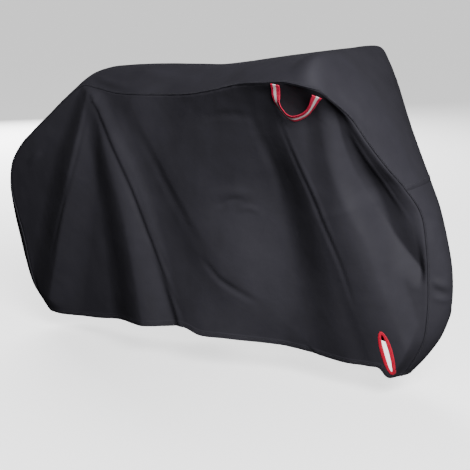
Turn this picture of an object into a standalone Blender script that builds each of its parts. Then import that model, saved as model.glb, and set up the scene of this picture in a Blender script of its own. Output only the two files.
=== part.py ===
"""A fitted outdoor cover of thin coated cloth, shown as it hangs when it is in use.

Frame: metres, +X to the front, +Y to the far side, +Z up. The origin is under the middle of the
cover, at the height of its lowest hem. Heights in the tables are above the ground it hangs over,
and a half width is a distance to either side of the middle.
"""

from collections import namedtuple

import bmesh
import bpy
import numpy as np
from mathutils import Matrix, Vector
from mathutils.bvhtree import BVHTree

# Driving dimensions
LOWEST_HEM = 0.075  # height above the ground, taken off every height in the tables
CLOTH = 0.0015  # thickness of the coated cloth
SEAM_GAP = 0.0014  # each panel stops this far short of a seam line
NEAR, FAR = -1.0, 1.0

# Cross sections of the strip over the middle, from the front hem over the top to the rear hem:
# where its seams lie on both sides, where its middle lies, and how square its crown is.
Section = namedtuple("Section", "seam_x half_width seam_z mid_x mid_z square")
SECTIONS = (
    Section(0.742, 0.050, 0.078, 0.760, 0.076, 2.0),
    Section(0.782, 0.054, 0.150, 0.812, 0.148, 2.0),
    Section(0.808, 0.058, 0.215, 0.851, 0.218, 2.0),
    Section(0.818, 0.064, 0.310, 0.875, 0.305, 2.0),
    Section(0.816, 0.070, 0.420, 0.874, 0.415, 2.0),
    Section(0.806, 0.077, 0.530, 0.850, 0.530, 2.0),
    Section(0.788, 0.087, 0.625, 0.818, 0.628, 2.0),
    Section(0.745, 0.122, 0.705, 0.773, 0.712, 2.0),
    Section(0.698, 0.166, 0.775, 0.733, 0.786, 2.0),
    Section(0.652, 0.206, 0.850, 0.691, 0.864, 2.0),
    Section(0.610, 0.244, 0.924, 0.647, 0.944, 2.2),
    Section(0.574, 0.294, 0.972, 0.596, 1.014, 3.0),
    Section(0.545, 0.325, 1.002, 0.544, 1.068, 10.0),
    Section(0.508, 0.329, 1.012, 0.514, 1.097, 24.0),
    Section(0.438, 0.316, 1.020, 0.430, 1.093, 14.0),
    Section(0.364, 0.298, 1.014, 0.350, 1.083, 10.0),
    Section(0.263, 0.262, 1.003, 0.250, 1.068, 8.0),
    Section(0.150, 0.225, 0.977, 0.150, 1.052, 5.0),
    Section(0.052, 0.195, 0.958, 0.060, 1.041, 3.0),
    Section(-0.060, 0.162, 0.947, -0.060, 1.039, 2.0),
    Section(-0.190, 0.152, 0.941, -0.190, 1.036, 2.0),
    Section(-0.290, 0.125, 0.940, -0.300, 1.028, 2.0),
    Section(-0.377, 0.106, 0.950, -0.390, 1.016, 2.0),
    Section(-0.440, 0.100, 0.955, -0.452, 0.996, 2.5),
    Section(-0.505, 0.101, 0.918, -0.520, 0.945, 2.5),
    Section(-0.596, 0.100, 0.846, -0.614, 0.866, 2.5),
    Section(-0.694, 0.098, 0.766, -0.718, 0.784, 2.5),
    Section(-0.758, 0.092, 0.706, -0.794, 0.724, 2.2),
    Section(-0.806, 0.083, 0.635, -0.850, 0.648, 2.0),
    Section(-0.820, 0.075, 0.550, -0.873, 0.555, 2.0),
    Section(-0.806, 0.069, 0.460, -0.870, 0.460, 2.0),
    Section(-0.784, 0.063, 0.360, -0.852, 0.360, 2.0),
    Section(-0.768, 0.057, 0.250, -0.826, 0.248, 2.0),
    Section(-0.742, 0.053, 0.155, -0.793, 0.153, 2.0),
    Section(-0.690, 0.050, 0.080, -0.735, 0.078, 2.0),
)
NEAR_SOFTNESS = 0.35  # the near side's crown is this much less square than the far side's
# Rows of the table where the strip is pieced, and where a side panel has its upper corners
FRONT_HEM, CROSS_SEAM, FRONT_CORNER, REAR_CORNER, REAR_HEM = 0, 7, 12, 23, len(SECTIONS) - 1

# Lower edges of the side panels, from the rear corner to the front corner
Hem = namedtuple("Hem", "x half_width z")
NEAR_HEM = (
    Hem(-0.690, 0.050, 0.080),
    Hem(-0.621, 0.064, 0.078),
    Hem(-0.447, 0.092, 0.093),
    Hem(-0.234, 0.125, 0.130),
    Hem(-0.061, 0.144, 0.148),
    Hem(0.002, 0.158, 0.155),
    Hem(0.062, 0.168, 0.140),
    Hem(0.157, 0.162, 0.138),
    Hem(0.246, 0.151, 0.132),
    Hem(0.383, 0.119, 0.121),
    Hem(0.477, 0.096, 0.111),
    Hem(0.562, 0.078, 0.107),
    Hem(0.646, 0.065, 0.112),
    Hem(0.683, 0.061, 0.113),
    Hem(0.708, 0.057, 0.086),
    Hem(0.742, 0.050, 0.078),
)
FAR_HEM = (
    Hem(-0.690, 0.050, 0.080),
    Hem(-0.560, 0.074, 0.082),
    Hem(-0.330, 0.108, 0.106),
    Hem(-0.090, 0.150, 0.132),
    Hem(0.130, 0.160, 0.140),
    Hem(0.340, 0.128, 0.122),
    Hem(0.540, 0.084, 0.112),
    Hem(0.668, 0.062, 0.108),
    Hem(0.708, 0.057, 0.088),
    Hem(0.742, 0.050, 0.078),
)

# Folds of the side panels as seen from the side: (x, z) where each starts, passes and ends. Its
# widths to the rear and to the front and its heights, below zero for a trough, are at its start,
# half way and at its end. Its flanks to the rear and to the front are sharp at 1 and soft at 0.
Fold = namedtuple("Fold", "start passes end rear_widths front_widths heights sharp")
NEAR_FOLDS = (
    Fold((-0.415, 0.945), (-0.473, 0.661), (-0.606, 0.120), (0.05, 0.12, 0.15), (0.06, 0.12, 0.15), (0.012, 0.036, 0.036), (0.4, 0.5)),
    Fold((-0.395, 0.930), (-0.262, 0.603), (-0.130, 0.110), (0.04, 0.12, 0.18), (0.05, 0.12, 0.16), (0.008, 0.032, 0.052), (0.2, 0.1)),
    Fold((-0.375, 0.910), (-0.214, 0.655), (-0.008, 0.140), (0.03, 0.04, 0.06), (0.05, 0.12, 0.18), (0.008, 0.012, 0.014), (0.0, 0.1)),
    Fold((-0.200, 0.910), (0.033, 0.555), (0.400, 0.170), (0.05, 0.12, 0.16), (0.10, 0.20, 0.24), (0.004, 0.010, 0.014), (0.2, 0.2)),
    Fold((0.352, 0.980), (0.500, 0.600), (0.690, 0.100), (0.05, 0.15, 0.22), (0.10, 0.24, 0.15), (0.003, 0.050, 0.050), (0.1, 0.0)),
    Fold((0.375, 0.830), (0.395, 0.550), (0.400, 0.110), (0.06, 0.10, 0.12), (0.05, 0.13, 0.20), (0.000, -0.020, -0.026), (0.0, 0.0)),
    Fold((0.520, 0.970), (0.615, 0.665), (0.785, 0.200), (0.08, 0.13, 0.16), (0.03, 0.05, 0.05), (0.006, 0.012, 0.014), (0.0, 0.0)),
    Fold((0.540, 0.970), (0.640, 0.675), (0.790, 0.420), (0.05, 0.05, 0.05), (0.05, 0.10, 0.08), (-0.014, -0.028, -0.016), (0.0, 0.6)),
)
FAR_FOLDS = (
    Fold((-0.415, 0.945), (-0.480, 0.640), (-0.610, 0.120), (0.05, 0.12, 0.15), (0.06, 0.12, 0.15), (0.010, 0.032, 0.046), (0.3, 0.4)),
    Fold((-0.395, 0.920), (-0.250, 0.590), (-0.130, 0.110), (0.05, 0.10, 0.15), (0.05, 0.10, 0.14), (0.006, 0.028, 0.050), (0.1, 0.1)),
    Fold((-0.250, 0.910), (-0.040, 0.560), (0.170, 0.110), (0.05, 0.10, 0.15), (0.08, 0.18, 0.22), (0.006, 0.024, 0.038), (0.2, 0.2)),
    Fold((0.380, 0.985), (0.430, 0.600), (0.560, 0.110), (0.06, 0.16, 0.20), (0.08, 0.18, 0.22), (0.010, 0.044, 0.070), (0.5, 0.1)),
    Fold((0.545, 0.970), (0.660, 0.660), (0.790, 0.400), (0.06, 0.08, 0.10), (0.05, 0.05, 0.06), (-0.008, -0.016, -0.020), (0.3, 0.3)),
)
EDGE_CALM = 0.030  # folds die away over this distance from the seams
EDGE_PULL = 2.5  # how quickly the bow of the front and rear seams dies away over a side panel
FOLD_SAMPLES = 40  # steps along a fold's path
PLACES = (0, 0.5, 1)  # how far along its path each of a fold's three sizes is

# The bound eyelet low at the front of each side panel
EYELET_X, EYELET_Z, EYELET_TILT = 0.706, 0.168, 0.30
EYELET_LONG, EYELET_SHORT = 0.074, 0.021  # half of its outer length and width
BINDING_WIDTH, BINDING_THICKNESS = 0.011, 0.0034
BINDING_GAP = 0.0005
CUTTER_DEPTH, CLEAR_OF_MIDDLE = 0.12, 0.01  # the bar that cuts an eyelet stays on its own side

# The reflective webbing loop under the near front corner: its path seen from the side, how far
# it stands off the panel, and its turn out of the panel's plane
StrapPoint = namedtuple("StrapPoint", "x z stand_off turn")
STRAP = (
    StrapPoint(0.403, 1.0135, 0.0030, 0.00),
    StrapPoint(0.402, 1.005, 0.0035, 0.00),
    StrapPoint(0.399, 0.992, 0.0050, 0.02),
    StrapPoint(0.397, 0.978, 0.0080, 0.10),
    StrapPoint(0.397, 0.963, 0.0120, 0.40),
    StrapPoint(0.404, 0.947, 0.0170, 0.72),
    StrapPoint(0.414, 0.932, 0.0200, 0.82),
    StrapPoint(0.427, 0.919, 0.0220, 0.86),
    StrapPoint(0.443, 0.913, 0.0225, 0.90),
    StrapPoint(0.462, 0.917, 0.0225, 0.96),
    StrapPoint(0.484, 0.928, 0.0210, 1.02),
    StrapPoint(0.504, 0.945, 0.0185, 1.02),
    StrapPoint(0.519, 0.961, 0.0160, 0.92),
    StrapPoint(0.531, 0.975, 0.0125, 0.72),
    StrapPoint(0.541, 0.986, 0.0085, 0.45),
)
STRAP_WIDTH, STRAP_THICKNESS = 0.030, 0.0016

# Grid steps of each sheet, along and across it
SIDE_STEPS, STRIP_STEPS, FRONT_STEPS = (64, 24), (60, 12), (18, 8)
FAR_STEPS, EYELET_STEPS, STRAP_STEPS = (34, 16), (32, 2), (36, 2)
MERGE_DISTANCE = 0.00001


def smooth_curve(points):
    """Points, knots and slopes of a smooth curve, whose first three columns are places."""
    points = np.array(points, float)
    steps = np.linalg.norm(np.diff(points[:, :3], axis=0), axis=1)
    knots = np.concatenate([[0.0], np.cumsum(steps)])
    return points, knots, np.gradient(points, knots, axis=0)


def along(curve, first, last, steps):
    """Rows at an even pace on the curve between two of its knots, in either direction."""
    points, knots, slopes = curve
    places = np.linspace(knots[first], knots[last], steps + 1)
    i = np.clip(np.searchsorted(knots, places, side="right") - 1, 0, len(knots) - 2)
    span = (knots[i + 1] - knots[i])[:, None]
    t = (places - knots[i])[:, None] / span
    start_share = (1 + 2 * t) * (1 - t) ** 2
    bend = t * (1 - t) * span * ((1 - t) * slopes[i] - t * slopes[i + 1])
    return start_share * points[i] + (1 - start_share) * points[i + 1] + bend


STRIP_CURVE = smooth_curve(SECTIONS)


def seam_points(side, first, last, steps):
    """Points on one side's seam between two sections."""
    rows = along(STRIP_CURVE, first, last, steps)
    return np.stack([rows[:, 0], side * rows[:, 1], rows[:, 2]], axis=1)


def pulled_back(edge, inner):
    """An edge of a grid of points, moved towards the next row in, so that seams stay open."""
    way = inner - edge
    return edge + way * SEAM_GAP / np.linalg.norm(way, axis=-1, keepdims=True)


def strip_points(first, last, steps, columns):
    """A grid of points over the strip between two sections, from the near seam to the far one."""
    rows = along(STRIP_CURVE, first, last, steps)[:, None, :]
    share = np.sin(np.linspace(-0.5, 0.5, columns + 1) * np.pi)[None, :]
    square = np.where(share < 0, np.maximum(2, NEAR_SOFTNESS * rows[..., 5]), rows[..., 5])
    rise = 1 - np.abs(share) ** square
    x = rows[..., 0] + (rows[..., 3] - rows[..., 0]) * rise
    z = rows[..., 2] + (rows[..., 4] - rows[..., 2]) * rise
    points = np.stack([x, rows[..., 1] * share, z], axis=-1)
    points[:, 0] = pulled_back(points[:, 0], points[:, 1])
    points[:, -1] = pulled_back(points[:, -1], points[:, -2])
    if first == CROSS_SEAM:
        points[0] = pulled_back(points[0], points[1])
    if last == CROSS_SEAM:
        points[-1] = pulled_back(points[-1], points[-2])
    return points


def fold_height(fold, x, z):
    """How far one fold lifts the cloth at the points (x, z) of the side view."""
    start, passes, end = (np.array(point, float) for point in (fold.start, fold.passes, fold.end))
    control = 2 * passes - (start + end) / 2
    t = np.linspace(0, 1, FOLD_SAMPLES + 1)[:, None]
    path = (1 - t) ** 2 * start + 2 * t * (1 - t) * control + t**2 * end
    gap = np.stack([x, z], axis=-1)[..., None, :] - path
    nearest = np.argmin(np.sum(gap**2, axis=-1), axis=-1)
    slope = np.gradient(path, axis=0)
    slope /= np.linalg.norm(slope, axis=1)[:, None]
    offset = np.take_along_axis(gap, nearest[..., None, None], axis=-2)[..., 0, :]
    tangent = slope[nearest]
    ahead = np.sum(offset * tangent, axis=-1)
    aside = offset[..., 1] * tangent[..., 0] - offset[..., 0] * tangent[..., 1]
    length = np.linalg.norm(np.diff(path, axis=0), axis=1).sum()
    done = np.clip(nearest / FOLD_SAMPLES + ahead / length, 0, 1)
    beyond = np.where((done <= 0) | (done >= 1), np.abs(ahead), 0)
    rear, front = (np.interp(done, PLACES, widths) for widths in (fold.rear_widths, fold.front_widths))
    near = np.clip(1 - np.hypot(aside, beyond) / np.where(aside < 0, rear, front), 0, 1)
    sharp = np.where(aside < 0, *fold.sharp)
    height = np.interp(done, PLACES, fold.heights)
    return height * near * near * (3 - 2 * near + sharp * 2 * (near - 1))


def side_points(side, hem, folds, steps, rows):
    """A grid of points over a side panel, from the rear seam to the front one and upwards."""
    low = along(smooth_curve(hem), 0, len(hem) - 1, steps) * (1, side, 1)
    high = seam_points(side, REAR_CORNER, FRONT_CORNER, steps)
    back = seam_points(side, REAR_HEM, REAR_CORNER, rows)
    front = seam_points(side, FRONT_HEM, FRONT_CORNER, rows)
    u = np.linspace(0, 1, steps + 1)[:, None, None]
    v = np.linspace(0, 1, rows + 1)[None, :, None]
    across = (1 - v) * low[:, None] + v * high[:, None]
    back_bow = back[None] - ((1 - v) * low[0] + v * high[0])
    front_bow = front[None] - ((1 - v) * low[-1] + v * high[-1])
    points = across + (1 - u) ** EDGE_PULL * back_bow + u**EDGE_PULL * front_bow
    seams = (back[None], front[None], high[:, None])
    reach = np.min([np.linalg.norm(points - seam, axis=-1) for seam in seams], axis=0)
    calm = np.clip(reach / EDGE_CALM, 0, 1)
    calm = calm * calm * (3 - 2 * calm)
    for fold in folds:
        points[..., 1] += side * calm * fold_height(fold, points[..., 0], points[..., 2])
    points[0] = pulled_back(points[0], points[1])
    points[-1] = pulled_back(points[-1], points[-2])
    points[:, -1] = pulled_back(points[:, -1], points[:, -2])
    return points


def material(name, colour, roughness):
    """A cloth material of one colour, given as red, green and blue from 0 to 1."""
    made = bpy.data.materials.new(name)
    made.use_nodes = True
    shader = made.node_tree.nodes["Principled BSDF"]
    shader.inputs["Base Color"].default_value = (*colour, 1.0)
    shader.inputs["Roughness"].default_value = roughness
    shader.inputs["Metallic"].default_value = 0.0
    return made


def collection(name, hidden):
    """A collection in the scene, which renders unless it is hidden."""
    made = bpy.data.collections.new(name)
    made.hide_render = hidden
    bpy.context.scene.collection.children.link(made)
    return made


def sheet(name, points, thickness, finish, group, closed=False, flip=False):
    """A cloth sheet over a grid of points, thickened outwards. A closed one joins its two ends."""
    steps, rows = points.shape[0] - 1, points.shape[1] - 1
    mesh = bmesh.new()
    bmesh.ops.create_grid(mesh, x_segments=steps, y_segments=rows, size=0.5)
    for vert in mesh.verts:
        column, row = round((vert.co.x + 0.5) * steps), round((vert.co.y + 0.5) * rows)
        vert.co = Vector(points[column, row]) - Vector((0, 0, LOWEST_HEM))
    if closed:
        bmesh.ops.remove_doubles(mesh, verts=mesh.verts, dist=MERGE_DISTANCE)
    if flip:
        bmesh.ops.reverse_faces(mesh, faces=mesh.faces)
    data = bpy.data.meshes.new(name)
    mesh.to_mesh(data)
    mesh.free()
    data.shade_smooth()
    data.materials.append(finish)
    made = bpy.data.objects.new(name, data)
    group.objects.link(made)
    solidify = made.modifiers.new("cloth_thickness", "SOLIDIFY")
    solidify.thickness = thickness
    solidify.offset = 1.0
    return made


def surface_of(made):
    """The bare surface of a sheet, to be measured across the middle."""
    return BVHTree.FromPolygons(
        [vert.co[:] for vert in made.data.vertices], [face.vertices[:] for face in made.data.polygons]
    )


def outer_face(surface, side, x, z):
    """The place and outward normal of a side panel at (x, z) of the side view."""
    start = Vector((x, side, z - LOWEST_HEM))
    place, normal, _, _ = surface.ray_cast(start, Vector((0, -side, 0)))
    if normal.y * side < 0:
        normal.negate()
    return place + Vector((0, 0, LOWEST_HEM)), normal


def eyelet_outline(angle, long_half, short_half):
    """A point of the eyelet's outline in the side view, for half lengths along and across it."""
    along_it, across_it = long_half * np.cos(angle), short_half * np.sin(angle)
    x = EYELET_X - along_it * np.sin(EYELET_TILT) + across_it * np.cos(EYELET_TILT)
    z = EYELET_Z + along_it * np.cos(EYELET_TILT) + across_it * np.sin(EYELET_TILT)
    return x, z


def eyelet_binding(name, side, surface, finish, group):
    """The flat bound rim of an eyelet, lying on the panel's own curve."""
    steps, rows = EYELET_STEPS
    sink = BINDING_THICKNESS / 2 - CLOTH / 2
    points = np.zeros((steps + 1, rows + 1, 3))
    for i in range(steps + 1):
        for j in range(rows + 1):
            inset = BINDING_WIDTH * (1 - j / rows)
            x, z = eyelet_outline(2 * np.pi * i / steps, EYELET_LONG - inset, EYELET_SHORT - inset)
            place, normal = outer_face(surface, side, x, z)
            points[i, j] = place - sink * normal
    return sheet(name, points, BINDING_THICKNESS, finish, group, closed=True, flip=side == NEAR)


def eyelet_cutter(name, side, group):
    """The oval bar that cuts an eyelet through its panel, a little wider than the binding."""
    mesh = bmesh.new()
    corners = EYELET_STEPS[0]
    bmesh.ops.create_cone(mesh, cap_ends=True, segments=corners, radius1=1, radius2=1, depth=CUTTER_DEPTH)
    size = Matrix.Diagonal((EYELET_SHORT + BINDING_GAP, EYELET_LONG + BINDING_GAP, 1.0, 1.0))
    stand = Matrix.Rotation(np.pi / 2, 4, "X")
    tilt = Matrix.Rotation(-EYELET_TILT, 4, "Y")
    middle = side * (CUTTER_DEPTH / 2 + CLEAR_OF_MIDDLE)
    place = Matrix.Translation((EYELET_X, middle, EYELET_Z - LOWEST_HEM))
    bmesh.ops.transform(mesh, matrix=place @ tilt @ stand @ size, verts=mesh.verts)
    bmesh.ops.recalc_face_normals(mesh, faces=mesh.faces)
    data = bpy.data.meshes.new(name)
    mesh.to_mesh(data)
    mesh.free()
    made = bpy.data.objects.new(name, data)
    made.display_type = "WIRE"
    made.hide_render = True
    group.objects.link(made)
    return made


def cut(target, cutter):
    """Cuts one closed body out of another."""
    boolean = target.modifiers.new("eyelet_hole", "BOOLEAN")
    boolean.operation = "DIFFERENCE"
    boolean.solver = "EXACT"
    boolean.object = cutter


def webbing_loop(name, surface, finish, group):
    """The flat webbing loop, hanging from the seam and turning on edge at its lowest point."""
    steps, rows = STRAP_STEPS
    path = along(smooth_curve(STRAP), 0, len(STRAP) - 1, steps)
    heading = np.gradient(path[:, (0, 1)], axis=0)
    heading /= np.linalg.norm(heading, axis=1)[:, None]
    points = np.zeros((steps + 1, rows + 1, 3))
    for i, (x, z, stand_off, turn) in enumerate(path):
        for j in range(rows + 1):
            aside = STRAP_WIDTH * (j / rows - 0.5)
            flat = aside * np.cos(turn)
            place, _ = outer_face(surface, NEAR, x - flat * heading[i, 1], z + flat * heading[i, 0])
            away = CLOTH + stand_off + aside * np.sin(turn)
            points[i, j] = place + Vector((0, NEAR * away, 0))
    return sheet(name, points, STRAP_THICKNESS, finish, group)


def main():
    for made in list(bpy.data.objects):
        bpy.data.objects.remove(made)
    cover = collection("bicycle_cover", hidden=False)
    cutters = collection("cutters", hidden=True)
    black = material("black_coated_cloth", (0.019, 0.019, 0.022), 0.48)
    red = material("red_binding", (0.60, 0.015, 0.028), 0.60)
    reflective = material("reflective_webbing", (0.66, 0.10, 0.12), 0.45)

    steps, rows = STRIP_STEPS
    sheet("top_panel", strip_points(CROSS_SEAM, REAR_HEM, steps, rows), CLOTH, black, cover)
    steps, rows = FRONT_STEPS
    sheet("front_panel", strip_points(FRONT_HEM, CROSS_SEAM, steps, rows), CLOTH, black, cover)
    sides = (
        ("near", NEAR, NEAR_HEM, NEAR_FOLDS, SIDE_STEPS),
        ("far", FAR, FAR_HEM, FAR_FOLDS, FAR_STEPS),
    )
    for where, side, hem, folds, (steps, rows) in sides:
        points = side_points(side, hem, folds, steps, rows)
        panel = sheet(f"side_panel_{where}", points, CLOTH, black, cover, flip=side == FAR)
        surface = surface_of(panel)
        eyelet_binding(f"eyelet_binding_{where}", side, surface, red, cover)
        cut(panel, eyelet_cutter(f"eyelet_cutter_{where}", side, cutters))
        if side == NEAR:
            webbing_loop("webbing_loop", surface, reflective, cover)


main()
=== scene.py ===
"""The looks of a fitted outdoor cover of thin coated cloth, as it hangs when it is in use.

Metres, +X to the front, +Y to the far side, +Z up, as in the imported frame. Heights in the tables
are above the ground that the cover hangs over, and a half width is a distance to either side of
the middle.
"""

import math
from collections import namedtuple

import bmesh
import bpy
import numpy as np
from mathutils import Matrix, Vector, noise
from mathutils.bvhtree import BVHTree


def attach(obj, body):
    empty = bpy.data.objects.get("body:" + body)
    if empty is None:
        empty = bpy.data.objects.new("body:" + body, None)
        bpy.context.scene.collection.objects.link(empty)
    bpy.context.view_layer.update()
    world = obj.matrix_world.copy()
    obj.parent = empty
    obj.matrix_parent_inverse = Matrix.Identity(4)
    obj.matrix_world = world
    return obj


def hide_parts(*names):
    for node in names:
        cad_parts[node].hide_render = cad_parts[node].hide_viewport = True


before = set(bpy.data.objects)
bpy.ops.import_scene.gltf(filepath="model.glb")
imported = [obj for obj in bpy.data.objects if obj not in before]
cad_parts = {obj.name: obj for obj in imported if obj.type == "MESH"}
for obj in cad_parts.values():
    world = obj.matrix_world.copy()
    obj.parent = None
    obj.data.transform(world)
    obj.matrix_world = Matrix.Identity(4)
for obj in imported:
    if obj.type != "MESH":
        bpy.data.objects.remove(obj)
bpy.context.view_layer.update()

bl_info = {
    "name": "Fitted cloth cover",
    "version": (1, 0, 0),
    "blender": (4, 5, 0),
    "location": "3D View > Sidebar > Cover",
    "description": "Makes a fitted outdoor cover with its folds, bound eyelets and webbing loop",
    "category": "Add Mesh",
}


def table(kind, *rows):
    """Rows of figures as named tuples of this kind."""
    return tuple(kind(*row) for row in rows)


LOWEST_HEM = 0.075  # height above the ground, taken off every height in the tables
NEAR, FAR = -1.0, 1.0

# Cross sections of the strip over the middle, from the front hem over the top to the rear hem:
# where its seams lie on both sides, where its middle lies, and how square its crown is.
Section = namedtuple("Section", "seam_x half_width seam_z mid_x mid_z square")
SECTIONS = table(
    Section,
    (0.742, 0.050, 0.078, 0.760, 0.076, 2.0),
    (0.782, 0.054, 0.150, 0.812, 0.148, 2.0),
    (0.808, 0.058, 0.215, 0.851, 0.218, 2.0),
    (0.818, 0.064, 0.310, 0.875, 0.305, 2.0),
    (0.816, 0.070, 0.420, 0.874, 0.415, 2.0),
    (0.806, 0.077, 0.530, 0.850, 0.530, 2.0),
    (0.788, 0.087, 0.625, 0.818, 0.628, 2.0),
    (0.745, 0.122, 0.705, 0.773, 0.712, 2.0),
    (0.698, 0.166, 0.775, 0.733, 0.786, 2.0),
    (0.652, 0.206, 0.850, 0.691, 0.864, 2.0),
    (0.610, 0.244, 0.924, 0.647, 0.944, 2.2),
    (0.574, 0.294, 0.972, 0.596, 1.014, 3.0),
    (0.545, 0.325, 1.002, 0.544, 1.068, 10.0),
    (0.508, 0.329, 1.012, 0.514, 1.097, 24.0),
    (0.438, 0.316, 1.020, 0.430, 1.093, 14.0),
    (0.364, 0.298, 1.014, 0.350, 1.083, 10.0),
    (0.263, 0.262, 1.003, 0.250, 1.068, 8.0),
    (0.150, 0.225, 0.977, 0.150, 1.052, 5.0),
    (0.052, 0.195, 0.958, 0.060, 1.041, 3.0),
    (-0.060, 0.162, 0.947, -0.060, 1.039, 2.0),
    (-0.190, 0.152, 0.941, -0.190, 1.036, 2.0),
    (-0.290, 0.125, 0.940, -0.300, 1.028, 2.0),
    (-0.377, 0.106, 0.950, -0.390, 1.016, 2.0),
    (-0.440, 0.100, 0.955, -0.452, 0.996, 2.5),
    (-0.505, 0.101, 0.918, -0.520, 0.945, 2.5),
    (-0.596, 0.100, 0.846, -0.614, 0.866, 2.5),
    (-0.694, 0.098, 0.766, -0.718, 0.784, 2.5),
    (-0.758, 0.092, 0.706, -0.794, 0.724, 2.2),
    (-0.806, 0.083, 0.635, -0.850, 0.648, 2.0),
    (-0.820, 0.075, 0.550, -0.873, 0.555, 2.0),
    (-0.806, 0.069, 0.460, -0.870, 0.460, 2.0),
    (-0.784, 0.063, 0.360, -0.852, 0.360, 2.0),
    (-0.768, 0.057, 0.250, -0.826, 0.248, 2.0),
    (-0.742, 0.053, 0.155, -0.793, 0.153, 2.0),
    (-0.690, 0.050, 0.080, -0.735, 0.078, 2.0),
)
NEAR_SOFTNESS = 0.35  # the near side's crown is this much less square than the far side's
# Rows of the table where the strip is pieced, and where a side panel has its upper corners
FRONT_HEM, CROSS_SEAM, FRONT_CORNER, REAR_CORNER, REAR_HEM = 0, 7, 12, 23, len(SECTIONS) - 1

# Lower edges of the side panels, from the rear corner to the front corner
Hem = namedtuple("Hem", "x half_width z")
NEAR_HEM = table(
    Hem,
    (-0.690, 0.050, 0.080),
    (-0.621, 0.064, 0.078),
    (-0.447, 0.092, 0.093),
    (-0.234, 0.125, 0.130),
    (-0.061, 0.144, 0.148),
    (0.002, 0.158, 0.155),
    (0.062, 0.168, 0.140),
    (0.157, 0.162, 0.138),
    (0.246, 0.151, 0.132),
    (0.383, 0.119, 0.121),
    (0.477, 0.096, 0.111),
    (0.562, 0.078, 0.107),
    (0.646, 0.065, 0.112),
    (0.683, 0.061, 0.113),
    (0.708, 0.057, 0.086),
    (0.742, 0.050, 0.078),
)
FAR_HEM = table(
    Hem,
    (-0.690, 0.050, 0.080),
    (-0.560, 0.074, 0.082),
    (-0.330, 0.108, 0.106),
    (-0.090, 0.150, 0.132),
    (0.130, 0.160, 0.140),
    (0.340, 0.128, 0.122),
    (0.540, 0.084, 0.112),
    (0.668, 0.062, 0.108),
    (0.708, 0.057, 0.088),
    (0.742, 0.050, 0.078),
)

# Folds of the side panels as seen from the side: (x, z) where each starts, passes and ends. Its
# widths to the rear and to the front and its heights, below zero for a trough, are at its start,
# half way and at its end. Its flanks to the rear and to the front are sharp at 1 and soft at 0.
Fold = namedtuple("Fold", "start passes end rear_widths front_widths heights sharp")
NEAR_FOLDS = table(
    Fold,
    (
        (-0.410, 0.945), (-0.480, 0.640), (-0.640, 0.140),
        (0.05, 0.12, 0.15), (0.06, 0.12, 0.15), (0.012, 0.036, 0.036), (0.4, 0.5),
    ),
    (
        (-0.395, 0.930), (-0.262, 0.603), (-0.155, 0.110),
        (0.04, 0.12, 0.19), (0.05, 0.12, 0.17), (0.006, 0.036, 0.060), (0.2, 0.1),
    ),
    (
        (-0.375, 0.910), (-0.214, 0.655), (-0.008, 0.140),
        (0.012, 0.020, 0.03), (0.05, 0.12, 0.18), (0.008, 0.012, 0.014), (0.5, 0.4),
    ),
    (
        (-0.200, 0.910), (0.033, 0.555), (0.400, 0.170),
        (0.05, 0.12, 0.16), (0.10, 0.20, 0.24), (0.004, 0.010, 0.014), (0.2, 0.2),
    ),
    (
        (0.352, 0.980), (0.502, 0.600), (0.670, 0.100),
        (0.05, 0.16, 0.23), (0.10, 0.21, 0.21), (-0.004, 0.047, 0.034), (0.3, 0.0),
    ),
    (
        (0.335, 0.850), (0.352, 0.550), (0.352, 0.110),
        (0.10, 0.20, 0.24), (0.07, 0.17, 0.25), (0.000, -0.028, -0.046), (0.0, 0.0),
    ),
    (
        (0.530, 0.965), (0.608, 0.640), (0.775, 0.160),
        (0.06, 0.13, 0.16), (0.05, 0.07, 0.06), (0.006, 0.042, 0.026), (0.0, 0.0),
    ),
    (
        (0.568, 0.965), (0.625, 0.690), (0.802, 0.440),
        (0.05, 0.06, 0.06), (0.05, 0.13, 0.08), (-0.014, -0.036, -0.022), (0.6, 0.7),
    ),
)
FAR_FOLDS = table(
    Fold,
    (
        (-0.415, 0.945), (-0.480, 0.640), (-0.610, 0.120),
        (0.05, 0.12, 0.15), (0.06, 0.12, 0.15), (0.010, 0.032, 0.046), (0.3, 0.4),
    ),
    (
        (-0.395, 0.920), (-0.250, 0.590), (-0.130, 0.110),
        (0.05, 0.10, 0.15), (0.05, 0.10, 0.14), (0.006, 0.028, 0.050), (0.1, 0.1),
    ),
    (
        (-0.250, 0.910), (-0.040, 0.560), (0.170, 0.110),
        (0.05, 0.10, 0.15), (0.08, 0.18, 0.22), (0.006, 0.024, 0.038), (0.2, 0.2),
    ),
    (
        (0.380, 0.985), (0.430, 0.600), (0.560, 0.110),
        (0.06, 0.16, 0.20), (0.08, 0.18, 0.22), (0.010, 0.044, 0.070), (0.5, 0.1),
    ),
    (
        (0.545, 0.970), (0.660, 0.660), (0.790, 0.400),
        (0.06, 0.08, 0.10), (0.05, 0.05, 0.06), (-0.008, -0.016, -0.020), (0.3, 0.3),
    ),
)
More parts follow.
